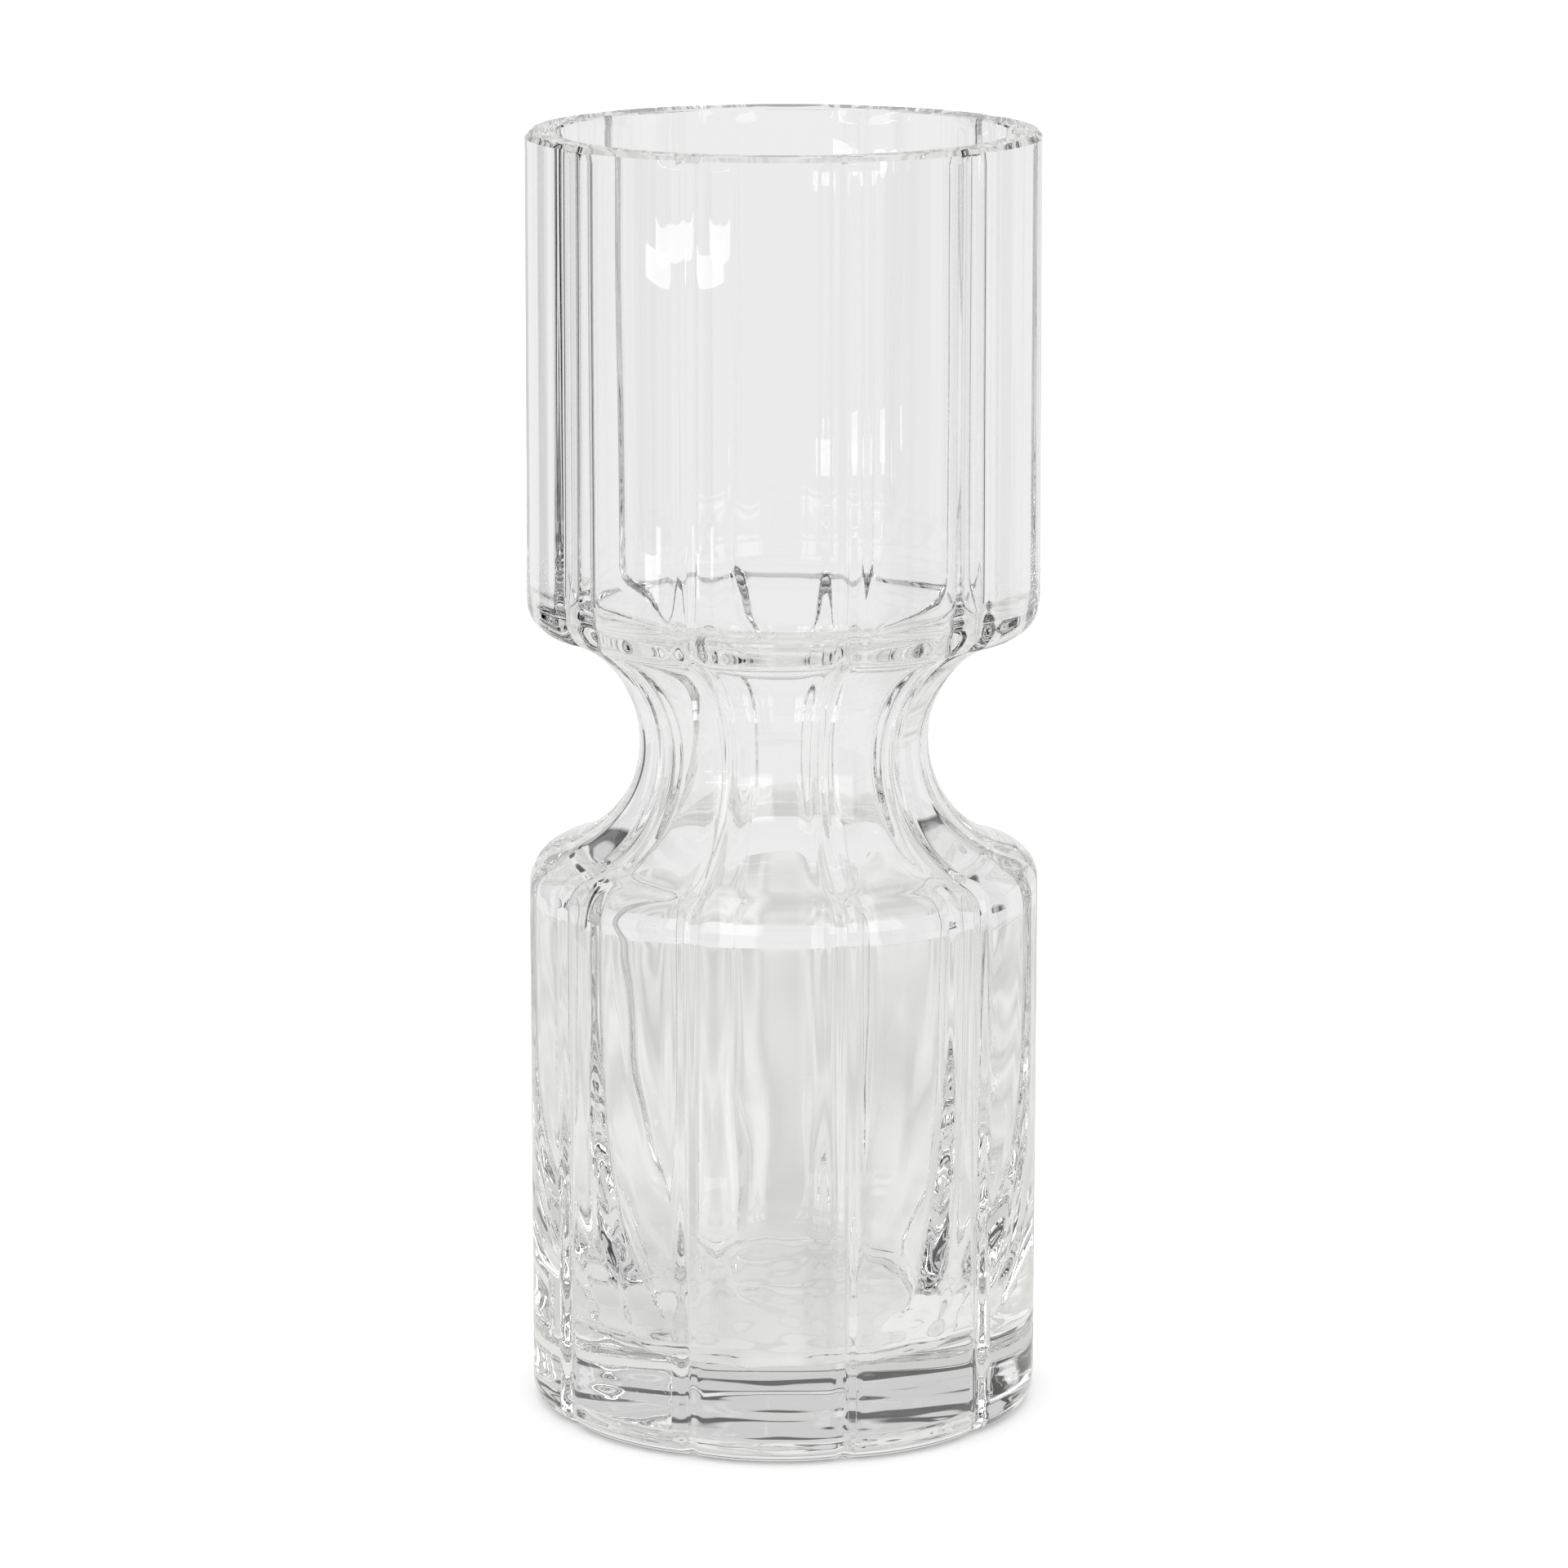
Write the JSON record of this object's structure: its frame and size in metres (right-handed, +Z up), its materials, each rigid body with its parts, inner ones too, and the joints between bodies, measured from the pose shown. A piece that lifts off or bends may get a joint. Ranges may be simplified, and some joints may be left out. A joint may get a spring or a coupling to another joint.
{
  "type": "flower vase",
  "caption": "Hourglass flower vase of thick clear glass: an upper cup, a narrow open neck and a lower reservoir, with soft vertical grooves down the outside.",
  "frame": {"origin": "centre of the base, in the plane of the foot ring that the vase stands on", "axes": "+Z up along the vase's axis, -Y towards the viewer; the vase is round, so no side is its front, and the first groove is 14 degrees from -Y towards +X"},
  "size_m": [0.1196, 0.1198, 0.3],
  "materials": {
    "clear_glass": "polished, colourless, slightly wavy on the inside"
  },
  "bodies": {
    "root": {"glass_body": "clear_glass"}
  },
  "joints": []
}
